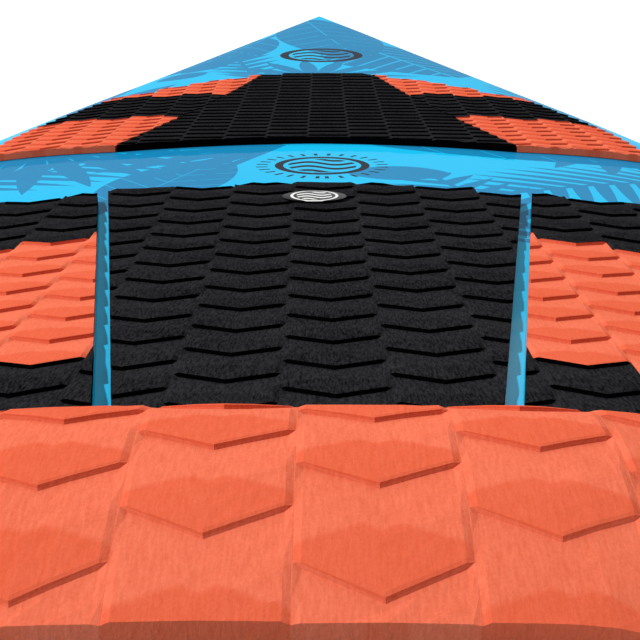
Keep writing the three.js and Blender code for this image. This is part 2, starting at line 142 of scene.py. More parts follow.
LENGTH = 1.420
WIDEST_AT = 0.680
NOSE_TIP_HALF = 0.004
NOSE_FULLNESS = 0.433
TAIL_HALF = 0.075
TAIL_POWER = 1.85
TAIL_CORNER = 0.030
TAIL_KICK = 0.0416
TAIL_KICK_FROM = 0.454
NOSE_LIFT = 0.073
NOSE_LIFT_FROM = 0.748
THICKNESS = 0.048
TAIL_THIN_FROM = 0.524
NOSE_THIN_FROM = 0.650
RAIL_SHARE = 0.42
BOTTOM_FLAT = 0.6


def half_width(t):
    half = cad_box[1].x
    if t >= WIDEST_AT:
        towards_nose = max(0.0, (LENGTH - t) / (LENGTH - WIDEST_AT))
        share = math.sin(math.pi / 2 * towards_nose**2) ** NOSE_FULLNESS
        return NOSE_TIP_HALF + (half - NOSE_TIP_HALF) * share
    body = half - (half - TAIL_HALF) * ((WIDEST_AT - t) / WIDEST_AT) ** TAIL_POWER
    in_corner = max(0.0, TAIL_CORNER - t)
    return body - TAIL_CORNER + math.sqrt(max(0.0, TAIL_CORNER**2 - in_corner**2))


def rocker(t):
    tail = TAIL_KICK * max(0.0, (TAIL_KICK_FROM - t) / TAIL_KICK_FROM) ** 2
    nose = NOSE_LIFT * max(0.0, (t - NOSE_LIFT_FROM) / (LENGTH - NOSE_LIFT_FROM)) ** 1.8
    return tail + nose


def thickness(t):
    tail = 0.0303 * max(0.0, 1 - t / TAIL_THIN_FROM) ** 2
    nose = 0.034 * max(0.0, (t - NOSE_THIN_FROM) / (LENGTH - NOSE_THIN_FROM)) ** 2.6
    return THICKNESS - tail - nose


def rail_line(t):
    return rocker(t) + RAIL_SHARE * thickness(t)


def deck_height(t, share, inset=0.0, gap=0.00015):
    rise = (1 - RAIL_SHARE) * thickness(t) - gap - inset
    return rail_line(t) + gap + rise * math.sqrt(max(0.0, 1 - abs(share) ** 3))


def bottom_height(t, share, inset=0.0, gap=0.00015):
    drop = RAIL_SHARE * thickness(t) - gap - inset
    turn = max(0.0, (abs(share) - BOTTOM_FLAT) / (1 - BOTTOM_FLAT))
    return rail_line(t) - gap - drop * math.sqrt(max(0.0, 1 - turn**2.4))


def deck_z(x, t):
    return deck_height(t, x / half_width(t))


def bottom_z(x, t):
    return bottom_height(t, x / half_width(t))


def across_y(t):
    return t - LENGTH / 2


# ---- Foam core and stringer -----------------------------------------------------------------
# Two shaped halves of bead foam, glued to a sawn strip of light wood on the centreline. Both are
# buried under the laminate and are shown in the finish that they have on the bench.


def node(tree, kind, **inputs):
    """A new node with plain values on its inputs, by their names."""
    made = tree.nodes.new(kind)
    for name, value in inputs.items():
        made.inputs[name.replace("_", " ")].default_value = value
    return made


def maths(tree, operation, *terms):
    """A Math node's output. Each term is a number or another node's output."""
    made = tree.nodes.new("ShaderNodeMath")
    made.operation = operation
    for slot, term in zip(made.inputs, terms):
        if isinstance(term, (int, float)):
            slot.default_value = term
        else:
            tree.links.new(term, slot)
    return made.outputs[0]


def blend_colour(tree, share, first, second):
    """Two colours mixed by a mask. A colour is a tuple or another node's output."""
    mix = tree.nodes.new("ShaderNodeMix")
    mix.data_type = "RGBA"
    tree.links.new(share, mix.inputs[0])
    for slot, colour in ((6, first), (7, second)):
        if isinstance(colour, tuple):
            mix.inputs[slot].default_value = (*colour, 1.0)
        else:
            tree.links.new(colour, mix.inputs[slot])
    return mix.outputs[2]


def noise(tree, place, scale, detail):
    """A noise over the piece, from 0 to 1."""
    made = node(tree, "ShaderNodeTexNoise", Scale=scale, Detail=detail)
    tree.links.new(place, made.inputs["Vector"])
    return made.outputs["Fac"]


def stretched(tree, place, scale):
    made = node(tree, "ShaderNodeMapping", Scale=scale)
    tree.links.new(place, made.inputs["Vector"])
    return made.outputs["Vector"]


def bump(tree, shader, height, distance, strength=1.0):
    made = node(tree, "ShaderNodeBump", Strength=strength, Distance=distance)
    tree.links.new(height, made.inputs["Height"])
    tree.links.new(made.outputs["Normal"], shader.inputs["Normal"])


def paint(tree, shader, share, first, second):
    tree.links.new(blend_colour(tree, share, first, second), shader.inputs["Base Color"])


def begin(name, *finish, **sockets):
    """A new material with its shader, its tree and its place on the piece."""
    made, shader = material(name, *finish, **sockets)
    tree = made.node_tree
    return made, shader, tree, tree.nodes.new("ShaderNodeTexCoord").outputs["Object"]


def dress(name, made):
    """Gives a carried-over CAD node its finish."""
    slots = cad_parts[name].data.materials
    slots.clear()
    slots.append(made)


def bead_foam():
    made, shader, tree, place = begin("bead_foam", (0.93, 0.92, 0.86), 0.85)
    beads = node(tree, "ShaderNodeTexVoronoi", Scale=320.0)
    tree.links.new(place, beads.inputs["Vector"])
    edge = maths(tree, "SMOOTH_MIN", beads.outputs["Distance"], 0.5, 0.2)
    paint(tree, shader, edge, (0.95, 0.94, 0.89), (0.78, 0.77, 0.71))
    bump(tree, shader, maths(tree, "SUBTRACT", 1.0, edge), 0.0008, 0.6)
    return made


def sawn_wood():
    made, shader, tree, place = begin("sawn_wood", (0.62, 0.42, 0.22), 0.65)
    rings = noise(tree, stretched(tree, place, (60.0, 2.2, 60.0)), 4.0, 6.0)
    paint(tree, shader, rings, (0.36, 0.2, 0.09), (0.78, 0.58, 0.34))
    bump(tree, shader, rings, 0.0004, 0.5)
    return made


core_finish = bead_foam()
dress("core_left", core_finish)
dress("core_right", core_finish)
dress("stringer", sawn_wood())


# ---- Bottom shell ---------------------------------------------------------------------------
# White glass laminate, 2 mm thick, flat in the middle with turned-up rails. It is squeegeed
# round the core, wet-sanded and polished, and pocketed for the three fin boxes.


def stations(count):
    """Places along the board, close together in the tail corners and at the tip."""
    corner = [TAIL_CORNER * (1 - math.cos(math.pi / 2 * i / 8)) for i in range(8)]
    run = LENGTH - TAIL_CORNER
    body = [TAIL_CORNER + run * math.sin(math.pi / 2 * i / count) ** 1.15 for i in range(count + 1)]
    return corner + body


def shares(count):
    """Shares of the half width from rail to rail, closer together at the rails."""
    return [math.sin(math.pi / 2 * (2 * i / count - 1)) for i in range(count + 1)]


def closed_slab(name, top, bottom):
    """A closed mesh between two facing grids of points."""
    rows = len(top)
    columns = len(top[0])
    half = rows * columns
    points = [p for row in top for p in row] + [p for row in bottom for p in row]
    faces = []
    for i in range(rows - 1):
        for j in range(columns - 1):
            a = i * columns + j
            faces.append((a, a + 1, a + columns + 1, a + columns))
            faces.append((half + a, half + a + columns, half + a + columns + 1, half + a + 1))
    rim = [j for j in range(columns)]
    rim += [i * columns + columns - 1 for i in range(1, rows)]
    rim += [(rows - 1) * columns + j for j in range(columns - 2, -1, -1)]
    rim += [i * columns for i in range(rows - 2, 0, -1)]
    for a, b in zip(rim, rim[1:] + rim[:1]):
        faces.append((b, a, half + a, half + b))
    mesh = bpy.data.meshes.new(name)
    mesh.from_pydata(points, [], faces)
    mesh.validate()
    made = bpy.data.objects.new(name, mesh)
    scene.collection.objects.link(made)
    return made


SKIN = 0.002
SOLID_END = 0.008


def shell(name, height, sign):
    """A thin skin whose outer face follows one of the board's height rules."""
    outer = []
    inner = []
    for t in stations(110):
        b = half_width(t)
        inside = max(0.0005, b - SKIN)
        from_end = min(t, LENGTH - t)
        deep = from_end > SOLID_END
        place = t if from_end < 1e-6 else min(max(t, SKIN), LENGTH - 2 * SKIN)
        outer.append([(a * b, across_y(t), height(t, a)) for a in shares(60)])
        level = [height(place, a, SKIN) if deep else height(place, 1.0) for a in shares(60)]
        inner.append([(a * inside, across_y(place), z) for a, z in zip(shares(60), level)])
    if sign > 0:
        return closed_slab(name, outer, inner)
    return closed_slab(name, inner, outer)


def cut_out(piece, cutters):
    """Cuts closed tools out of a piece, then removes the tools."""
    for cutter in cutters:
        cutting = piece.modifiers.new("cut", "BOOLEAN")
        cutting.operation = "DIFFERENCE"
        cutting.solver = "EXACT"
        cutting.object = cutter
    bpy.context.view_layer.update()
    graph = bpy.context.evaluated_depsgraph_get()
    result = bpy.data.meshes.new_from_object(piece.evaluated_get(graph))
    piece.modifiers.clear()
    piece.data = result
    for cutter in cutters:
        bpy.data.objects.remove(cutter)


def smooth(piece, degrees=35.0):
    """Smooth shading, with creases kept sharper than an angle."""
    piece.data.polygons.foreach_set("use_smooth", [True] * len(piece.data.polygons))
    piece.data.set_sharp_from_angle(angle=math.radians(degrees))


def finish_piece(piece, body, slot, made, *replaced):
    """The last steps for a piece: its finish, the body it rides on and what it stands for."""
    piece.data.materials.clear()
    piece.data.materials.append(made)
    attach(piece, body)
    if replaced:
        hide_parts(*replaced)


def clear_coat_ripple(tree, shader, place):
    """The faint unevenness of hand-polished resin, on the clear coat alone."""
    ripple = noise(tree, place, 14.0, 2.0)
    made = node(tree, "ShaderNodeBump", Strength=0.12, Distance=0.002)
    tree.links.new(ripple, made.inputs["Height"])
    tree.links.new(made.outputs["Normal"], shader.inputs["Coat Normal"])
    return ripple


def white_laminate():
    made, shader, tree, place = begin("white_laminate", (0.82, 0.84, 0.84), 0.32, Coat_Weight=0.8)
    shader.inputs["Coat Roughness"].default_value = 0.05
    ripple = clear_coat_ripple(tree, shader, place)
    paint(tree, shader, ripple, (0.78, 0.81, 0.82), (0.86, 0.875, 0.87))
    bump(tree, shader, noise(tree, place, 900.0, 2.0), 0.0001, 0.3)
    return made


def block(size, lift, place):
    """A closed box tool, whose top is lifted above its own origin, put in place by a matrix."""
    x, y, z = (s / 2 for s in size)
    top = [(-x, -y, lift), (x, -y, lift), (x, y, lift), (-x, y, lift)]
    low = [(px, py, lift - 2 * z) for px, py, _ in top]
    tool = closed_slab("tool", [top[:2], [top[3], top[2]]], [low[:2], [low[3], low[2]]])
    tool.data.transform(place)
    return tool


FIN_BOX = (0.013, 0.128, 0.014)
SIDE_FIN_AT = 0.312
CENTRE_FIN_AT = 0.122
FIN_FROM_RAIL = 0.040
TOE_IN = 0.05
CANT = 0.1
FIT = 0.0003


def fin_place(x, t, turn, lean):
    """Square to the bottom at a point: +Z goes into the board, XY lies on its face."""
    slope = (bottom_z(x, t + 0.001) - bottom_z(x, t - 0.001)) / 0.002
    tilt = Matrix.Rotation(math.atan(slope), 4, "X")
    swing = Matrix.Rotation(turn, 4, "Z") @ Matrix.Rotation(lean, 4, "Y")
    return Matrix.Translation((x, across_y(t), bottom_z(x, t))) @ swing @ tilt


side_x = half_width(SIDE_FIN_AT) - FIN_FROM_RAIL
fin_places = {
    "center": fin_place(0.0, CENTRE_FIN_AT, 0.0, 0.0),
    "left": fin_place(-side_x, SIDE_FIN_AT, -TOE_IN, CANT),
    "right": fin_place(side_x, SIDE_FIN_AT, TOE_IN, -CANT),
}

room = (FIN_BOX[0] + 2 * FIT, FIN_BOX[1] + 2 * FIT, 0.030)
bottom = shell("bottom_shell", bottom_height, -1)
cut_out(bottom, [block(room, FIN_BOX[2] + FIT, place) for place in fin_places.values()])
smooth(bottom)
finish_piece(bottom, "board", "bottom_laminate", white_laminate(), "bottom_skin")


# ---- Fin boxes, fins and their screws -------------------------------------------------------
# Moulded boxes are glued into the bottom. Each fin's tab slides into its box and a stainless
# grub screw at the front clamps it. The fins are polished composite, foiled and raked back.


def moulded_plastic():
    made, shader, tree, place = begin("moulded_plastic", (0.016, 0.017, 0.019), 0.42)
    wear = noise(tree, place, 90.0, 4.0)
    paint(tree, shader, wear, (0.012, 0.013, 0.014), (0.032, 0.034, 0.038))
    tree.links.new(maths(tree, "MULTIPLY_ADD", wear, 0.3, 0.28), shader.inputs["Roughness"])
    bump(tree, shader, noise(tree, place, 2600.0, 3.0), 0.00006, 0.4)
    return made


def fin_composite():
    made, shader, tree, place = begin("fin_composite", (0.02, 0.021, 0.023), 0.3, Coat_Weight=0.6)
    shader.inputs["Coat Roughness"].default_value = 0.06
    streak = noise(tree, stretched(tree, place, (1.0, 1.0, 0.25)), 160.0, 5.0)
    paint(tree, shader, streak, (0.012, 0.012, 0.014), (0.04, 0.042, 0.046))
    bump(tree, shader, streak, 0.00008, 0.35)
    return made


def brushed_steel():
    made, shader, tree, place = begin("brushed_steel", (0.6, 0.61, 0.63), 0.3, 1.0)
    scratch = noise(tree, place, 1800.0, 3.0)
    tree.links.new(maths(tree, "MULTIPLY_ADD", scratch, 0.25, 0.16), shader.inputs["Roughness"])
    bump(tree, shader, scratch, 0.00003, 0.3)
    return made


plastic = moulded_plastic()
composite = fin_composite()
steel = brushed_steel()

FIN_BASE = 0.112
FIN_HEIGHT = 0.115
FIN_HALF = 0.003
FIN_TIP_SHARE = 0.2
FIN_RAKE = 0.062
FIN_EDGE = 0.0005
TAB_LENGTH = 0.106
TAB_DEPTH = 0.011
TAB_IN_FIN = 0.0007
SCREW_AT = 0.058
SOCKET = 0.0012


def fin(label, place):
    """A raked blade with a rounded nose and a fine tail, and its tab in the box."""
    rings = 26
    chord_steps = 22
    sides = {1: [], -1: []}
    for i in range(rings):
        v = i / (rings - 1)
        chord = FIN_BASE * (1 + (FIN_TIP_SHARE - 1) * v**1.7)
        leading = FIN_BASE / 2 - FIN_RAKE * v**1.35
        for sign, rows in sides.items():
            row = []
            for k in range(chord_steps + 1):
                u = (1 - math.cos(math.pi * k / chord_steps)) / 2
                foil = math.sqrt(3 * u) * (1 - u) * 1.5
                half = FIN_EDGE + (FIN_HALF - FIN_EDGE) * foil * (1 - 0.65 * v)
                row.append((sign * half, leading - chord * u, -FIT - FIN_HEIGHT * v))
            rows.append(row)
    blade = closed_slab("fin_" + label + "_blade", sides[1], sides[-1])
    tab_size = (2 * FIN_HALF, TAB_LENGTH - 2 * FIT, TAB_DEPTH + TAB_IN_FIN)
    shift = Matrix.Translation((0, SCREW_AT - TAB_LENGTH / 2, 0))
    tab = block(tab_size, TAB_DEPTH - FIT, shift)
    joining = blade.modifiers.new("tab", "BOOLEAN")
    joining.operation = "UNION"
    joining.solver = "EXACT"
    joining.object = tab
    cut_out(blade, [])
    bpy.data.objects.remove(tab)
    blade.data.transform(place)
    smooth(blade, 30)
    finish_piece(blade, "board", "fin_composite", composite, "fin_" + label)


def revolved(name, rows):
    """A closed round piece from rings of points, each ring's last point over its first."""
    shape = bmesh.new()
    grid = [[shape.verts.new(p) for p in row[:-1]] for row in rows]
    count = len(grid[0])
    for low, high in zip(grid, grid[1:]):
        for k in range(count):
            shape.faces.new((low[k], low[(k + 1) % count], high[(k + 1) % count], high[k]))
    bmesh.ops.remove_doubles(shape, verts=shape.verts, dist=1e-7)
    bmesh.ops.dissolve_degenerate(shape, edges=shape.edges, dist=1e-8)
    bmesh.ops.recalc_face_normals(shape, faces=shape.faces)
    mesh = bpy.data.meshes.new(name)
    shape.to_mesh(mesh)
    shape.free()
    made = bpy.data.objects.new(name, mesh)
    scene.collection.objects.link(made)
    return made


def grub_screw(label, place):
    """A set screw with a hexagon socket, flush in the front of its box."""
    around = 36
    levels = [(0.0, 0.0055), (SOCKET, 0.0055), (SOCKET, 0.0008), (0.0019, 0.0005), (0.0025, 0.0011)]
    levels += [(0.0025, 0.0076), (0.0021, 0.008), (0.0, 0.008)]
    rows = []
    for r, z in levels:
        row = []
        for k in range(around + 1):
            angle = 2 * math.pi * k / around
            hexagon = math.cos(math.pi / 6) / math.cos((angle % (math.pi / 3)) - math.pi / 6)
            reach = r * hexagon if r == SOCKET else r
            row.append((reach * math.cos(angle), reach * math.sin(angle) + SCREW_AT, z))
        rows.append(row)
    screw = revolved("fin_screw_" + label + "_set", rows)
    screw.data.transform(place)
    smooth(screw, 30)
    finish_piece(screw, "board", "steel", steel, "fin_screw_" + label)


for label, place in fin_places.items():
    dress("fin_box_" + label, plastic)
    fin(label, place)
    grub_screw(label, place)


# ---- Deck shell -----------------------------------------------------------------------------
# Glass laminate over a printed sheet: two blues with tropical leaves, a plain ring mark at the
# nose and another between the pads, under a polished clear coat. Holes take the cup and vent.

INK = (0.008, 0.012, 0.02)


def mask_group(name, *values):
    """A node group that turns a Vector and named values into one Mask, and its Math nodes."""
    tree = bpy.data.node_groups.new(name, "ShaderNodeTree")
    tree.interface.new_socket("Vector", in_out="INPUT", socket_type="NodeSocketVector")
    for value in values:
        tree.interface.new_socket(value, in_out="INPUT", socket_type="NodeSocketFloat")
    tree.interface.new_socket("Mask", in_out="OUTPUT", socket_type="NodeSocketFloat")
    given = tree.nodes.new("NodeGroupInput").outputs
    result = tree.nodes.new("NodeGroupOutput")
    split = tree.nodes.new("ShaderNodeSeparateXYZ")
    tree.links.new(given["Vector"], split.inputs[0])
    x, y, _ = split.outputs
    return tree, partial(maths, tree), given, x, y, result.inputs["Mask"]


def tooth(m, value):
    """A zigzag wave, 0 to 1 and back over each whole number."""
    centred = m("MULTIPLY_ADD", m("FRACT", value), 2.0, -1.0)
    return m("SUBTRACT", 1.0, m("ABSOLUTE", centred))


def distance(m, x, y):
    return m("SQRT", m("ADD", m("POWER", x, 2.0), m("POWER", y, 2.0)))


def fan_leaf():
    """A fan palm: pointed blades spread round its foot, joined near it. Its length is 1."""
    tree, m, given, x, y, out = mask_group("fan_leaf", "Blades", "Spread", "Joined")
    angle = m("ARCTAN2", x, y)
    blade = tooth(m, m("MULTIPLY", angle, given["Blades"]))
    free = m("SUBTRACT", 1.0, given["Joined"])
    tip = m("MULTIPLY_ADD", m("POWER", blade, 0.7), free, given["Joined"])
    inside = m("LESS_THAN", distance(m, x, y), tip)
    spread = m("LESS_THAN", m("ABSOLUTE", angle), given["Spread"])
    tree.links.new(m("MULTIPLY", inside, spread), out)
    return tree


def feather_leaf():
    """A palm frond: narrow leaflets slanting off a stem along +Y. Its length is 1."""
    tree, m, given, x, y, out = mask_group("feather_leaf", "Leaflets", "Width")
    side = m("ABSOLUTE", x)
    root = m("MULTIPLY_ADD", side, -0.75, y)
    inside = m("MULTIPLY", m("GREATER_THAN", root, 0.0), m("LESS_THAN", root, 1.0))
    bow = m("POWER", m("SINE", m("MULTIPLY_ADD", root, 2.6, 0.45)), 0.7)
    share = m("DIVIDE", side, m("MULTIPLY", bow, given["Width"]))
    wave = tooth(m, m("MULTIPLY", root, given["Leaflets"]))
    need = m("MULTIPLY_ADD", m("POWER", share, 2.0), 0.75, 0.28)
    leaflet = m("MULTIPLY", m("GREATER_THAN", wave, need), inside)
    stem = m("MULTIPLY", m("LESS_THAN", side, 0.012), m("LESS_THAN", y, 0.98))
    stem = m("MULTIPLY", stem, m("GREATER_THAN", y, -0.25))
    tree.links.new(m("MAXIMUM", leaflet, stem), out)
    return tree


def broad_leaf():
    """A whole leaf along +Y with a pale midrib and side veins. Its length is 1."""
    tree, m, given, x, y, out = mask_group("broad_leaf", "Width", "Veins", "Vein")
    side = m("ABSOLUTE", x)
    length = m("MINIMUM", m("MAXIMUM", y, 0.0), 1.0)
    bow = m("POWER", m("SINE", m("MULTIPLY", length, math.pi)), 0.62)
    inside = m("LESS_THAN", side, m("MULTIPLY", bow, given["Width"]))
    slant = m("MULTIPLY_ADD", side, -0.7, y)
    fine = m("LESS_THAN", tooth(m, m("MULTIPLY", slant, given["Veins"])), given["Vein"])
    rib = m("LESS_THAN", side, m("MULTIPLY", given["Vein"], 0.05))
    pale = m("MULTIPLY", m("MAXIMUM", fine, rib), 0.75)
    stem = m("MULTIPLY", m("LESS_THAN", side, 0.018), m("LESS_THAN", y, 0.05))
    stem = m("MULTIPLY", stem, m("GREATER_THAN", y, -0.3))
    whole = m("MULTIPLY", inside, m("SUBTRACT", 1.0, pale))
    tree.links.new(m("MAXIMUM", whole, stem), out)
    return tree


def ring_mark():
    """A ring round three rolling lines, with short strokes outside it. Its ring's radius is 1."""
    tree, m, given, x, y, out = mask_group("ring_mark", "Ring", "Lines", "Strokes")
    reach = distance(m, x, y)
    ring = m("LESS_THAN", m("ABSOLUTE", m("SUBTRACT", reach, 0.93)), given["Ring"])
    roll = m("MULTIPLY", m("SINE", m("MULTIPLY", x, 5.2)), 0.16)
    wave = tooth(m, m("MULTIPLY", m("ADD", y, roll), 2.2))
    line = m("GREATER_THAN", wave, m("SUBTRACT", 1.0, given["Lines"]))
    line = m("MULTIPLY", line, m("LESS_THAN", reach, 0.74))
    beat = tooth(m, m("MULTIPLY", m("ARCTAN2", x, y), 4.4))
    stroke = m("MULTIPLY", m("GREATER_THAN", beat, 0.72), m("LESS_THAN", reach, 1.42))
    stroke = m("MULTIPLY", stroke, m("GREATER_THAN", reach, 1.18))
    stroke = m("MULTIPLY", stroke, given["Strokes"])
    tree.links.new(m("MAXIMUM", m("MAXIMUM", ring, line), stroke), out)
    return tree


FAN, FEATHER, BROAD, RING = fan_leaf(), feather_leaf(), broad_leaf(), ring_mark()

# Each leaf: its group, its foot (x, t), the way it grows in degrees from the nose towards the
# right rail, its length, and its group's own values.
LEAVES = [
    (BROAD, (-0.020, 1.395), 168, 0.300, {"Width": 0.20, "Veins": 9.0, "Vein": 0.05}),
    (BROAD, (-0.062, 1.255), 205, 0.230, {"Width": 0.24, "Veins": 8.0, "Vein": 0.05}),
    (BROAD, (0.030, 1.210), 152, 0.225, {"Width": 0.34, "Veins": 9.0, "Vein": 0.16}),
    (FAN, (-0.003, 0.982), 4, 0.105, {"Blades": 2.6, "Spread": 1.35, "Joined": 0.30}),
    (FEATHER, (-0.060, 0.980), -12, 0.190, {"Leaflets": 9.0, "Width": 0.22}),
    (BROAD, (-0.098, 1.105), 212, 0.075, {"Width": 0.30, "Veins": 6.0, "Vein": 0.0}),
    (BROAD, (-0.112, 1.030), 240, 0.055, {"Width": 0.34, "Veins": 6.0, "Vein": 0.0}),
    (FAN, (-0.020, 0.642), -104, 0.145, {"Blades": 3.6, "Spread": 0.95, "Joined": 0.34}),
    (FAN, (-0.190, 0.660), 150, 0.160, {"Blades": 4.2, "Spread": 1.0, "Joined": 0.30}),
    (FEATHER, (-0.255, 0.520), 62, 0.190, {"Leaflets": 11.0, "Width": 0.32}),
    (BROAD, (0.028, 0.660), 98, 0.240, {"Width": 0.20, "Veins": 7.0, "Vein": 0.04}),
    (BROAD, (0.018, 0.547), 92, 0.062, {"Width": 0.34, "Veins": 5.0, "Vein": 0.0}),
    (FEATHER, (0.245, 0.580), 238, 0.170, {"Leaflets": 10.0, "Width": 0.34}),
    (FAN, (0.205, 0.680), 200, 0.120, {"Blades": 3.4, "Spread": 0.9, "Joined": 0.36}),
    (BROAD, (-0.110, 0.450), 20, 0.150, {"Width": 0.22, "Veins": 8.0, "Vein": 0.05}),
    (FEATHER, (0.120, 0.380), -18, 0.170, {"Leaflets": 10.0, "Width": 0.26}),
    (FAN, (0.200, 0.450), 160, 0.150, {"Blades": 3.4, "Spread": 1.0, "Joined": 0.34}),
    (FAN, (-0.230, 0.840), 10, 0.160, {"Blades": 3.2, "Spread": 1.1, "Joined": 0.34}),
    (FEATHER, (0.225, 0.820), -8, 0.200, {"Leaflets": 10.0, "Width": 0.26}),
    (FAN, (-0.120, 0.080), 30, 0.110, {"Blades": 3.2, "Spread": 1.1, "Joined": 0.34}),
    (FEATHER, (0.110, 0.040), -30, 0.140, {"Leaflets": 10.0, "Width": 0.28}),
]


def placed_mask(tree, coordinates, group, at, degrees, length, values):
    """One mask laid on the deck: moved to its foot, turned and scaled."""
    mapping = node(
        tree,
        "ShaderNodeMapping",
        Location=(at[0], across_y(at[1]), 0.0),
        Rotation=(0.0, 0.0, math.radians(-degrees)),
        Scale=(length, length, 1.0),
    )
    mapping.vector_type = "TEXTURE"
    tree.links.new(coordinates, mapping.inputs["Vector"])
    made = tree.nodes.new("ShaderNodeGroup")
    made.node_tree = group
    tree.links.new(mapping.outputs["Vector"], made.inputs["Vector"])
    for name, value in values.items():
        made.inputs[name].default_value = value
    return made.outputs["Mask"]


NOSE_MARK = ((0.003, 1.120), 0, 0.043, {"Ring": 0.11, "Lines": 0.42, "Strokes": 0.0})
PAD_MARK = ((0.004, 0.569), 0, 0.0285, {"Ring": 0.09, "Lines": 0.46, "Strokes": 0.95})


def printed_deck():
    made, shader, tree, place = begin("printed_deck", (0.006, 0.33, 0.64), 0.40, Coat_Weight=0.15)
    shader.inputs["Coat Roughness"].default_value = 0.06
    shader.inputs["Specular IOR Level"].default_value = 0.0
    cover = None
    for leaf in LEAVES:
        mask = placed_mask(tree, place, *leaf)
        cover = mask if cover is None else maths(tree, "MAXIMUM", cover, mask)
    tone = noise(tree, place, 5.0, 3.0)
    sky = blend_colour(tree, tone, (0.005, 0.350, 0.610), (0.010, 0.430, 0.710))
    leafy = blend_colour(tree, tone, (0.004, 0.125, 0.285), (0.010, 0.175, 0.360))
    speck = maths(tree, "MULTIPLY_ADD", noise(tree, place, 1500.0, 1.0), 0.3, 0.72)
    colour = blend_colour(tree, maths(tree, "MULTIPLY", cover, speck), sky, leafy)
    marks = [placed_mask(tree, place, RING, *mark) for mark in (NOSE_MARK, PAD_MARK)]
    paint(tree, shader, maths(tree, "MAXIMUM", *marks), colour, INK)
    clear_coat_ripple(tree, shader, place)
    bump(tree, shader, tone, 0.0006, 0.1)
    return made


def deck_place(x, t):
    """Square to the deck at a point, its XY plane just clear of the deck."""
    reach = 0.005
    slope = (deck_z(x, t + reach) - deck_z(x, t - reach)) / (2 * reach)
    lean = (deck_z(x + reach, t) - deck_z(x - reach, t)) / (2 * reach)
    turn = Matrix.Rotation(math.atan(slope), 4, "X") @ Matrix.Rotation(-math.atan(lean), 4, "Y")
    return Matrix.Translation((x, across_y(t), deck_z(x, t) + 0.0004)) @ turn


def turned(name, profile, place, around=64):
    """A closed round piece from a profile of (radius, height) points that ends on its axis."""
    rows = []
    for r, z in profile:
        angles = [2 * math.pi * k / around for k in range(around + 1)]
        rows.append([(r * math.cos(a), r * math.sin(a), z) for a in angles])
    made = revolved(name, rows)
    made.data.transform(place)
    return made


FITTINGS_AT = 0.026
CUP_HOLE = (0.0108, 0.0133)
VENT_HOLE = (0.0078, 0.0113)
cup_place = deck_place(0.0, FITTINGS_AT)
vent_place = deck_place(0.036, FITTINGS_AT)


def plug(radius, depth, place):
    return turned("tool", [(0, -depth), (radius, -depth), (radius, 0.02), (0, 0.02)], place)


deck = shell("deck_shell", deck_height, 1)
cut_out(deck, [plug(*CUP_HOLE, cup_place), plug(*VENT_HOLE, vent_place)])
smooth(deck)
finish_piece(deck, "board", "deck_laminate", printed_deck(), "deck_skin")


# ---- Leash cup and pin ----------------------------------------------------------------------
# A moulded cup is set in the deck with its flange on the laminate. A stainless pin is pressed
# across it and takes the leash string.

cup_profile = [
    (0.0, -0.013), (0.0102, -0.013), (0.0105, -0.0127), (0.0105, 0.0), (0.0124, 0.0), (0.013, 0.0003),
    (0.0129, 0.0008), (0.0122, 0.0013), (0.0112, 0.0014), (0.0098, 0.0014), (0.0091, 0.0009), (0.009, 0.0),
    (0.009, -0.0108), (0.0084, -0.0114), (0.0, -0.0115),
]
cup = turned("leash_cup_moulding", cup_profile, cup_place)
pin_turn = Matrix.Rotation(math.pi / 2, 4, "Y")
pin_place = cup_place @ Matrix.Translation((0, 0, -0.0045)) @ pin_turn
cut_out(cup, [turned("tool", [(0, -0.012), (0.0019, -0.012), (0.0019, 0.012), (0, 0.012)], pin_place)])
smooth(cup, 30)
finish_piece(cup, "board", "moulded_plastic", plastic, "leash_cup")

pin_profile = [(0, -0.01), (0.0013, -0.01), (0.0016, -0.0097), (0.0016, 0.0097), (0.0013, 0.01), (0, 0.01)]
pin = turned("leash_pin_bar", pin_profile, pin_place, 32)
smooth(pin, 30)
finish_piece(pin, "board", "steel", steel, "leash_pin")


# ---- Pressure vent --------------------------------------------------------------------------
# A moulded insert with a steel screw on a rubber ring. The screw is backed out two turns to let
# the core breathe, and lifts the ring off its seat.

vent_profile = [
    (0.0, -0.011), (0.0072, -0.011), (0.0075, -0.0107), (0.0075, 0.0), (0.0095, 0.0), (0.01, 0.0003),
    (0.0099, 0.0009), (0.0094, 0.0014), (0.0042, 0.0014), (0.004, 0.0012), (0.004, -0.0095), (0.0, -0.0095),
]
vent = turned("vent_insert", vent_profile, vent_place)
smooth(vent, 30)
finish_piece(vent, "board", "moulded_plastic", plastic, "vent_body")


def seal_rubber():
    made, shader, tree, place = begin("seal_rubber", (0.012, 0.012, 0.012), 0.6)
    bloom = noise(tree, place, 700.0, 3.0)
    paint(tree, shader, bloom, (0.008, 0.008, 0.008), (0.03, 0.03, 0.03))
    bump(tree, shader, bloom, 0.00004, 0.4)
    return made


def ring_profile(centre, level, half_wide, half_high, count=16):
    """The closed round section of a rubber ring."""
    angles = [2 * math.pi * k / count for k in range(count + 1)]
    return [(centre + half_wide * math.cos(a), level + half_high * math.sin(a)) for a in angles]


seal = turned("vent_ring", ring_profile(0.005, 0.0023, 0.0008, 0.0006), vent_place, 48)
smooth(seal, 80)
finish_piece(seal, "seal", "seal_rubber", seal_rubber(), "vent_seal")

head_base = 0.0032
head_top = 0.0054
screw_profile = [
    (0.0, head_base - 0.008), (0.0032, head_base - 0.008), (0.0036, head_base - 0.0075),
    (0.0036, head_base), (0.0063, head_base), (0.0066, head_base + 0.0003),
    (0.0066, head_top - 0.0006), (0.0062, head_top - 0.0002), (0.0056, head_top), (0.0, head_top),
]
screw = turned("vent_screw_head", screw_profile, vent_place)
cut_out(screw, [block((0.016, 0.0016, 0.005), head_top + 0.004, vent_place)])
smooth(screw, 30)
finish_piece(screw, "screw", "steel", steel, "vent_screw")


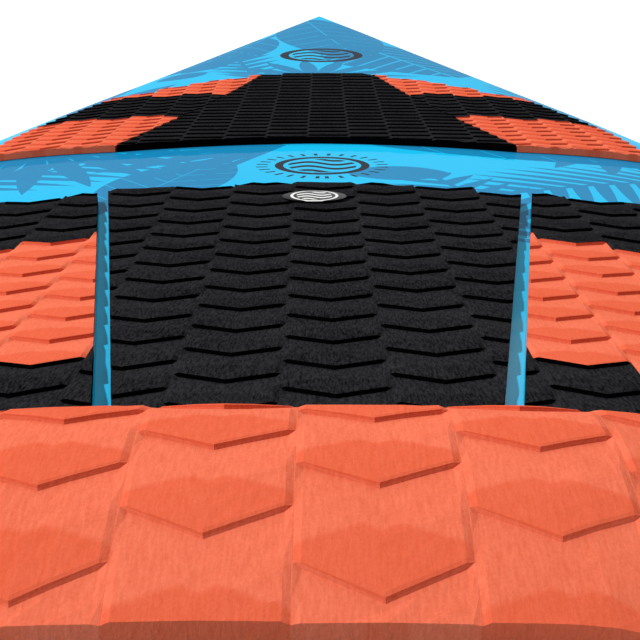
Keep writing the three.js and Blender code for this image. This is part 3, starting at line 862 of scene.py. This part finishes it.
# ---- Traction pads --------------------------------------------------------------------------
# Sheets of closed-cell foam, milled on top into overlapping scales that point to the tail: each
# starts as a step and slopes down to the next. They are cut to shape and stuck to the deck.

PAD_GAP = 0.0004
PAD_THICK = 0.005


def foam(name, dark, pale, tip_dark, tip_pale, speckle, painted_step_shade):
    """Brushed foam: speckled, darker at each scale's point, with painted shade on its steep walls."""
    made, shader, tree, place = begin(name, pale, 0.9, Specular_IOR_Level=0.0)
    m = partial(maths, tree)
    cells = node(tree, "ShaderNodeTexNoise", Scale=1500.0, Detail=3.0, Roughness=0.75)
    tree.links.new(place, cells.inputs["Vector"])
    cells = cells.outputs["Fac"]
    strokes = noise(tree, stretched(tree, place, (1500.0, 260.0, 400.0)), 1.0, 2.0)
    cloud = noise(tree, place, 45.0, 3.0)

    along, aside = (tree.nodes.new("ShaderNodeAttribute") for _ in range(2))
    along.attribute_name = "phase"
    aside.attribute_name = "across"
    side = m("MAXIMUM", m("ABSOLUTE", aside.outputs["Fac"]), 0.2)
    reach = m("MULTIPLY_ADD", side, 0.52, along.outputs["Fac"])
    # A darker, deeper colour band at the point of each scale, set by its phase and its place across its
    # column.
    tip = tree.nodes.new("ShaderNodeMapRange")
    tip.interpolation_type = "SMOOTHSTEP"
    for socket, value in (("From Min", 0.60), ("From Max", 0.68), ("To Min", 1.0), ("To Max", 0.0)):
        tip.inputs[socket].default_value = value
    tree.links.new(reach, tip.inputs["Value"])

    grain = m("MULTIPLY_ADD", strokes, 0.5, m("MULTIPLY", cells, 0.5))
    grain = m("MULTIPLY_ADD", m("SUBTRACT", grain, 0.5), speckle, 0.5)
    grain = m("MULTIPLY_ADD", m("SUBTRACT", cloud, 0.5), 0.5, grain)
    grain = m("MINIMUM", m("MAXIMUM", grain, 0.0), 1.0)
    field = blend_colour(tree, grain, dark, pale)
    point = blend_colour(tree, grain, tip_dark, tip_pale)
    top_colour = blend_colour(tree, tip.outputs["Result"], field, point)
    # Painted shade: every face steeper than the top (the step walls and the pad's cut sides) is pulled
    # towards the darkest point colour by the last value given to foam, in place of the shadow these walls
    # fall in.
    facing = tree.nodes.new("ShaderNodeSeparateXYZ")
    tree.links.new(tree.nodes.new("ShaderNodeNewGeometry").outputs["True Normal"], facing.inputs[0])
    cut = m("MULTIPLY", m("LESS_THAN", facing.outputs["Z"], 0.6), painted_step_shade)
    paint(tree, shader, cut, top_colour, tip_dark)
    height = m("MULTIPLY_ADD", cells, 0.6, m("MULTIPLY", strokes, 0.4))
    bump(tree, shader, height, 0.00022, 0.7)
    return made


# The last value of each foam is how strongly painted shade darkens its steep step walls.
black_foam = foam(
    "black_foam", (0.004, 0.004, 0.0044), (0.025, 0.025, 0.028), (0.001, 0.001, 0.0014),
    (0.022, 0.022, 0.024), 3.6, 1.0,
)
orange_foam = foam(
    "orange_foam", (0.58, 0.104, 0.050), (0.72, 0.165, 0.092), (0.56, 0.084, 0.036),
    (0.65, 0.122, 0.062), 2.2, 0.12,
)


def milled_scales():
    """Geometry Nodes: raises a flat sheet of scales into a closed, stepped foam pad."""
    tree = bpy.data.node_groups.new("milled_scales", "GeometryNodeTree")
    face = tree.interface
    face.new_socket("Geometry", in_out="INPUT", socket_type="NodeSocketGeometry")
    for size in ("Foam thickness", "Step", "Break share", "Break drop", "Ridge", "Edge round", "Side blend"):
        face.new_socket(size, in_out="INPUT", socket_type="NodeSocketFloat")
    face.new_socket("Finish", in_out="INPUT", socket_type="NodeSocketMaterial")
    face.new_socket("Geometry", in_out="OUTPUT", socket_type="NodeSocketGeometry")
    given = tree.nodes.new("NodeGroupInput").outputs
    result = tree.nodes.new("NodeGroupOutput")

    def attribute(name):
        made = tree.nodes.new("GeometryNodeInputNamedAttribute")
        made.data_type = "FLOAT"
        made.inputs["Name"].default_value = name
        return made.outputs["Attribute"]

    def ramp(value, start, end, low, high):
        made = tree.nodes.new("ShaderNodeMapRange")
        for slot, term in zip(made.inputs, (value, start, end, low, high)):
            if isinstance(term, (int, float)):
                slot.default_value = term
            else:
                tree.links.new(term, slot)
        return made.outputs[0]

    m = partial(maths, tree)
    phase = attribute("phase")
    side = m("ABSOLUTE", attribute("across"))
    top_slope = ramp(phase, 0.0, given["Break share"], 0.0, given["Break drop"])
    rest = m("SUBTRACT", given["Step"], given["Break drop"])
    front_slope = ramp(phase, given["Break share"], 1.0, 0.0, rest)
    edge = ramp(phase, 0.0, 0.03, given["Edge round"], 0.0)
    fall = m("ADD", m("ADD", top_slope, front_slope), edge)
    meeting = ramp(side, given["Side blend"], 0.98, 0.0, 1.0)
    level = m("MULTIPLY_ADD", given["Step"], 0.5, m("MULTIPLY", fall, -1.0))
    fall = m("MULTIPLY_ADD", level, meeting, fall)
    fall = m("MULTIPLY_ADD", side, given["Ridge"], fall)
    rise = m("SUBTRACT", given["Foam thickness"], fall)
    lift = tree.nodes.new("ShaderNodeCombineXYZ")
    tree.links.new(rise, lift.inputs["Z"])

    def after(kind, source, socket="Geometry"):
        made = tree.nodes.new(kind)
        tree.links.new(source, made.inputs[socket])
        return made

    extrude = after("GeometryNodeExtrudeMesh", given["Geometry"], "Mesh")
    extrude.mode = "FACES"
    extrude.inputs["Individual"].default_value = False
    extrude.inputs["Offset Scale"].default_value = 0.0
    move = after("GeometryNodeSetPosition", extrude.outputs["Mesh"])
    tree.links.new(extrude.outputs["Top"], move.inputs["Selection"])
    tree.links.new(lift.outputs[0], move.inputs["Offset"])
    flip = after("GeometryNodeFlipFaces", given["Geometry"], "Mesh")
    both = after("GeometryNodeJoinGeometry", flip.outputs["Mesh"])
    tree.links.new(move.outputs["Geometry"], both.inputs["Geometry"])
    weld = after("GeometryNodeMergeByDistance", both.outputs["Geometry"])
    weld.inputs["Distance"].default_value = 0.000005
    real = after("GeometryNodeRealizeInstances", weld.outputs["Geometry"])
    coat = after("GeometryNodeSetMaterial", real.outputs["Geometry"])
    tree.links.new(given["Finish"], coat.inputs["Material"])
    tree.links.new(coat.outputs["Geometry"], result.inputs["Geometry"])
    return tree


SCALES = milled_scales()


class Pattern:
    """Where the milled scales lie: columns along the board, rows half a step apart."""

    def __init__(self, column_at, column, row_at, row, point, skew=0.0):
        self.column_at = column_at
        self.column = column
        self.row_at = row_at
        self.row = row
        self.point = point
        self.skew = skew

    def middle(self, k, t):
        return self.column_at + self.column * k + self.skew * (t - self.row_at)

    def column_of(self, x, t):
        return round((x - self.middle(0, t)) / self.column)

    def across(self, x, t):
        k = self.column_of(x, t)
        return (x - self.middle(k, t)) / (self.column / 2)

    def place(self, x, row):
        """The t of a lattice row at x, where the rows bend to a point at each column's middle."""
        t = self.row_at + self.row * row
        for _ in range(3):
            t = self.row_at + self.row * row + self.point * min(1.0, abs(self.across(x, t)))
        return t


def scale_sheet(name, pattern, sides, owns, cuts, base):
    """The flat mesh of a pad: the scales that it owns, held between its sides and its cuts.

    sides gives the lowest and highest x at t, owns says if the scale at (x, t) belongs to the
    pad, cuts gives the lowest and highest t at x, and base gives the height under the foam.
    Each point keeps its phase along its scale and its place across its column."""
    hair = 0.0002 / pattern.row
    half = [0.0, 0.03, 0.24, 0.45, 0.5 - hair]
    phases = half + [0.5 + p for p in half[:-1]] + [1.0 - hair]
    column_edge = 1.0 - 0.00025 / pattern.column
    spots = [-column_edge, -0.90, -0.4, 0.0, 0.4, 0.90, column_edge]
    t_low = min(cuts(0.0)[0], cuts(0.25)[0]) - 2 * pattern.row
    t_high = max(cuts(0.0)[1], cuts(0.25)[1]) + pattern.row
    first_row = math.floor((t_low - pattern.row_at) / pattern.row)
    last_row = math.ceil((t_high - pattern.row_at) / pattern.row)
    rows = [(n, p) for n in range(first_row, last_row) for p in phases]
    reach = math.ceil(0.30 / pattern.column)
    lines = [(k, a) for k in range(-reach, reach + 1) for a in spots]

    def owned(k, row):
        """Whether the scale at a row of column k is the pad's."""
        offset = (k % 2) * 0.5
        n = math.floor(row + offset)
        t = pattern.row_at + pattern.row * (n + 0.5 - offset) + pattern.point / 2
        low, high = sides(t)
        x = min(max(pattern.middle(k, t), low + 0.002), high - 0.002)
        return owns(x, t)

    grid = {}
    points = []
    phase_of = []
    across_of = []
    index_of = {}
    for i, (n, p) in enumerate(rows):
        for j, (k, a) in enumerate(lines):
            t = pattern.row_at + pattern.row * (n + p)
            x = pattern.middle(k, t) + a * pattern.column / 2
            outside = 0
            for _ in range(4):
                t = pattern.place(x, n + p)
                low, high = sides(t)
                free = pattern.middle(k, t) + a * pattern.column / 2
                x = min(max(free, low), high)
                outside = -1 if free < low else 1 if free > high else 0
            rear, front = cuts(x)
            beyond = -1 if t < rear else 1 if t > front else 0
            t = min(max(t, rear), front)
            own_column = pattern.column_of(x, t)
            phase = (p + (own_column % 2) * 0.5) % 1.0
            across = max(-1.0, min(1.0, pattern.across(x, t)))
            grid[i, j] = (x, t, phase, across, outside, beyond)

    def index(i, j):
        x, t, phase, across, _, _ = grid[i, j]
        key = (round(x * 2e5), round(t * 2e5))
        if key not in index_of:
            index_of[key] = len(points)
            points.append((x, across_y(t), base(x, t)))
            phase_of.append(phase)
            across_of.append(across)
        return index_of[key]

    faces = []
    for i in range(len(rows) - 1):
        n, p = rows[i]
        next_n, next_p = rows[i + 1]
        for j in range(len(lines) - 1):
            corners = [(i, j), (i, j + 1), (i + 1, j + 1), (i + 1, j)]
            if all(grid[c][4] < 0 for c in corners) or all(grid[c][4] > 0 for c in corners):
                continue
            if all(grid[c][5] < 0 for c in corners) or all(grid[c][5] > 0 for c in corners):
                continue
            ends = (n + p + hair * 0.2, next_n + next_p - hair * 0.2)
            if not all(owned(k, row) for k in {lines[j][0], lines[j + 1][0]} for row in ends):
                continue
            loop = []
            for c in corners:
                v = index(*c)
                if v not in loop:
                    loop.append(v)
            if len(loop) > 2:
                faces.append(loop)
    mesh = bpy.data.meshes.new(name)
    mesh.from_pydata(points, [], faces)
    mesh.attributes.new("phase", "FLOAT", "POINT").data.foreach_set("value", phase_of)
    mesh.attributes.new("across", "FLOAT", "POINT").data.foreach_set("value", across_of)
    made = bpy.data.objects.new(name, mesh)
    scene.collection.objects.link(made)
    return made


def milled(sheet, made, sizes):
    """Runs the scale tree on a sheet and keeps its result as a plain mesh."""
    raising = sheet.modifiers.new("scales", "NODES")
    raising.node_group = SCALES
    values = {"Finish": made, **sizes}
    for item in SCALES.interface.items_tree:
        if item.item_type == "SOCKET" and item.in_out == "INPUT" and item.name in values:
            raising[item.identifier] = values[item.name]
    bpy.context.view_layer.update()
    graph = bpy.context.evaluated_depsgraph_get()
    result = bpy.data.meshes.new_from_object(sheet.evaluated_get(graph))
    sheet.modifiers.clear()
    sheet.data = result


REAR_SIZES = {
    "Foam thickness": PAD_THICK, "Step": 0.0016, "Break share": 0.45, "Break drop": 0.00035,
    "Ridge": 0.0004, "Edge round": 0.0002, "Side blend": 0.90,
}
FRONT_SIZES = {**REAR_SIZES, "Step": 0.0013, "Break share": 0.5, "Break drop": 0.0005, "Ridge": 0.0001}


def pad(name, made, slot, pattern, sizes, sides, owns, cuts, *replaced):
    sheet = scale_sheet(name, pattern, sides, owns, cuts, lambda x, t: deck_z(x, t) + PAD_GAP)
    milled(sheet, made, sizes)
    finish_piece(sheet, "board", slot, made, *replaced)


# ---- Rear pads ------------------------------------------------------------------------------
# Under the back foot: a black centre piece that narrows to the tail, and on each side a pad in
# three parts, black, coral and black, across a bare channel.

KICK_TOE = 0.160
CHANNEL = 0.0056
HALF_SEAM = 0.0006
PAD_FROM_RAIL = 0.034
REAR_HALF = 0.111


def between(x0, y0, x1, y1):
    return lambda x: y0 + (y1 - y0) * (x - x0) / (x1 - x0)


centre_edge = between(0.183, 0.055, 0.481, REAR_HALF)
centre_scales = Pattern(0.0057, 0.0325, 0.4305, 0.02425, 0.0078, -0.0103)


def centre_front(x):
    return 0.496 - 0.015 * abs(x) / REAR_HALF


def rail_edge(t):
    return half_width(t) - PAD_FROM_RAIL


pad(
    "rear_center_foam", black_foam, "black_foam", centre_scales, REAR_SIZES,
    lambda t: (-centre_edge(t), centre_edge(t)),
    lambda x, t: KICK_TOE - 0.03 < t < centre_front(x),
    lambda x: (KICK_TOE + HALF_SEAM, centre_front(x) + 0.003),
    "rear_pad_center",
)


def inlay_front(x):
    return 0.388 - 0.26 * (abs(x) - 0.101)


def inlay_rear(x):
    return 0.240 - 0.84 * (abs(x) - 0.071)


def side_front(x):
    return 0.474 - 0.15 * (abs(x) - REAR_HALF)


side_parts = {
    "front": (black_foam, "black_foam", inlay_front, side_front),
    "inlay": (orange_foam, "orange_foam", inlay_rear, inlay_front),
    "rear": (black_foam, "black_foam", lambda x: 0.0, inlay_rear),
}
for label, sign in (("left", -1), ("right", 1)):
    side_scales = Pattern(sign * 0.117, 0.031, 0.423, 0.0243, 0.0078)
    for part, (made, slot, rear, front) in side_parts.items():

        def side_limits(t, sign=sign):
            inner, outer = centre_edge(t) + CHANNEL, rail_edge(t)
            return (inner, outer) if sign > 0 else (-outer, -inner)

        def in_part(x, t, rear=rear, front=front):
            return rear(x) <= t < front(x)

        pad(
            f"rear_{label}_{part}_foam", made, slot, side_scales, REAR_SIZES, side_limits, in_part,
            lambda x: (KICK_TOE + HALF_SEAM, side_front(x) + 0.003),
            f"rear_pad_{label}_{part}",
        )


# ---- Front pad ------------------------------------------------------------------------------
# Under the front foot, with finer and shallower rows: a black centre that widens to the tail,
# and a wing each side with a coral tip, a black middle and a coral rear part.

WIDE_HALF = 0.131
NARROW_HALF = 0.054
WING_TIP_AT = 0.972
SHOULDER_AT = 0.875
front_side = between(0.628, WIDE_HALF, WING_TIP_AT, NARROW_HALF)
wing_margin = between(0.628, 0.046, SHOULDER_AT, 0.056)
front_scales = Pattern(-0.0202, 0.0283, 0.960, 0.0165, 0.0008)
wing_scales = Pattern(0.0, 0.0262, 0.956, 0.0178, 0.0062)


def wing_outer(t):
    return half_width(t) - wing_margin(t)


SHOULDER = wing_outer(SHOULDER_AT)


def front_rear(x):
    return 0.647 - 0.024 * min(1.0, abs(x) / WIDE_HALF) ** 1.5


def front_front(x):
    return 0.981 - 0.009 * (x / NARROW_HALF) ** 2


def wing_front(x):
    return WING_TIP_AT - 0.75 * (abs(x) - NARROW_HALF)


def band_rear(x):
    share = max(0.0, (SHOULDER - abs(x)) / (SHOULDER - NARROW_HALF - 0.012))
    return 0.863 + 0.007 * share**0.3


def mid_rear(x):
    return 0.749


pad(
    "front_center_foam", black_foam, "black_foam", front_scales, FRONT_SIZES,
    lambda t: (HALF_SEAM - front_side(t), front_side(t) - HALF_SEAM),
    lambda x, t: 0.55 < t < front_front(x),
    lambda x: (front_rear(x), front_front(x) + 0.003),
    "front_pad_center",
)

wing_parts = {
    "tip": (orange_foam, "orange_foam", band_rear, wing_front),
    "middle": (black_foam, "black_foam", mid_rear, band_rear),
    "rear": (orange_foam, "orange_foam", lambda x: 0.0, mid_rear),
}
for label, sign in (("left", -1), ("right", 1)):
    for part, (made, slot, rear, front) in wing_parts.items():

        def wing_limits(t, sign=sign):
            inner = front_side(t) + HALF_SEAM
            outer = max(inner + 0.0005, wing_outer(t))
            return (inner, outer) if sign > 0 else (-outer, -inner)

        def in_part(x, t, rear=rear, front=front):
            return rear(x) <= t < front(x)

        pad(
            f"front_{label}_{part}_foam", made, slot, wing_scales, FRONT_SIZES, wing_limits, in_part,
            lambda x: (front_rear(x), wing_front(x) + 0.004),
            f"front_pad_{label}_{part}",
        )


# ---- Kick wedge and kick pad ----------------------------------------------------------------
# A shaped foam wedge makes the arched kick behind the back foot. A coral scale sheet is bent
# over it and glued down.

KICK_REAR = 0.051
KICK_CREST = 0.102
KICK_BACK = 0.064
KICK_HEIGHT = 0.0265
KICK_LIP = 0.0012


def wedge_rise(x, t):
    shoulder = math.sqrt(max(0.0, 1 - abs(x / rail_edge(t)) ** 10))
    if t < KICK_CREST:
        rise = 1 - ((KICK_CREST - t) / KICK_BACK) ** 2
    else:
        ramp = min(1.0, (t - KICK_CREST) / (KICK_TOE - KICK_CREST))
        rise = 0.5 + 0.5 * math.cos(math.pi * ramp)
    return KICK_LIP + KICK_HEIGHT * shoulder * rise


def wedge_foam():
    made, shader, tree, place = begin("wedge_foam", (0.02, 0.02, 0.022), 0.9)
    cells = node(tree, "ShaderNodeTexVoronoi", Scale=1500.0)
    tree.links.new(place, cells.inputs["Vector"])
    paint(tree, shader, cells.outputs["Distance"], (0.01, 0.01, 0.011), (0.035, 0.035, 0.038))
    bump(tree, shader, cells.outputs["Distance"], 0.0002, 0.6)
    return made


def kick_wedge():
    top = []
    low = []
    for i in range(49):
        t = KICK_REAR + (KICK_TOE - HALF_SEAM - KICK_REAR) * i / 48
        xs = [a * rail_edge(t) for a in shares(48)]
        top.append([(x, across_y(t), deck_z(x, t) + PAD_GAP + wedge_rise(x, t)) for x in xs])
        low.append([(x, across_y(t), deck_z(x, t) + PAD_GAP) for x in xs])
    wedge = closed_slab("kick_wedge_foam", top, low)
    smooth(wedge, 40)
    finish_piece(wedge, "board", "wedge_foam", wedge_foam(), "kick_wedge")


kick_wedge()
kick_scales = Pattern(0.0144, 0.0308, 0.0772, 0.0225, 0.0066)
kick_sheet = scale_sheet(
    "kick_foam", kick_scales,
    lambda t: (-rail_edge(t), rail_edge(t)),
    lambda x, t: True,
    lambda x: (KICK_REAR, KICK_TOE - HALF_SEAM),
    lambda x, t: deck_z(x, t) + 2 * PAD_GAP + wedge_rise(x, t),
)
milled(kick_sheet, orange_foam, {**REAR_SIZES, "Step": 0.0013, "Break drop": 0.0002, "Ridge": 0.0002})
finish_piece(kick_sheet, "board", "orange_foam", orange_foam, "kick_pad")


# ---- Badge ----------------------------------------------------------------------------------
# A thin moulded oval stuck on the front of the rear centre pad, with a plain ring and a wave.

BADGE_AT = 0.456
BADGE_MARK = ((0.0, BADGE_AT), 0, 0.0125, {"Ring": 0.06, "Lines": 0.42, "Strokes": 0.0})
BADGE_HALF_WIDE = 0.0165
BADGE_HALF_LONG = 0.012


def badge_finish():
    made, shader, tree, place = begin(
        "badge_print", (0.02, 0.02, 0.022), 0.5, Specular_IOR_Level=0.1
    )
    mask = placed_mask(tree, place, RING, *BADGE_MARK)
    white = blend_colour(tree, noise(tree, place, 500.0, 3.0), (0.60, 0.60, 0.59), (0.74, 0.74, 0.73))
    paint(tree, shader, mask, (0.012, 0.012, 0.014), white)
    bump(tree, shader, mask, 0.0002, 0.5)
    return made


def badge():
    base = deck_z(0.0, BADGE_AT) + PAD_GAP + PAD_THICK + 0.0003
    levels = [(0.0, 0.0), (0.97, 0.0), (1.0, 0.0001), (1.0, 0.0004), (0.97, 0.0006), (0.0, 0.0006)]
    place = Matrix.Translation((0, across_y(BADGE_AT), base))
    oval = Matrix.Diagonal((BADGE_HALF_WIDE, BADGE_HALF_LONG, 1.0, 1.0))
    plate = turned("badge_oval", levels, place @ oval, 96)
    smooth(plate, 40)
    finish_piece(plate, "board", "badge", badge_finish(), "pad_badge")


badge()
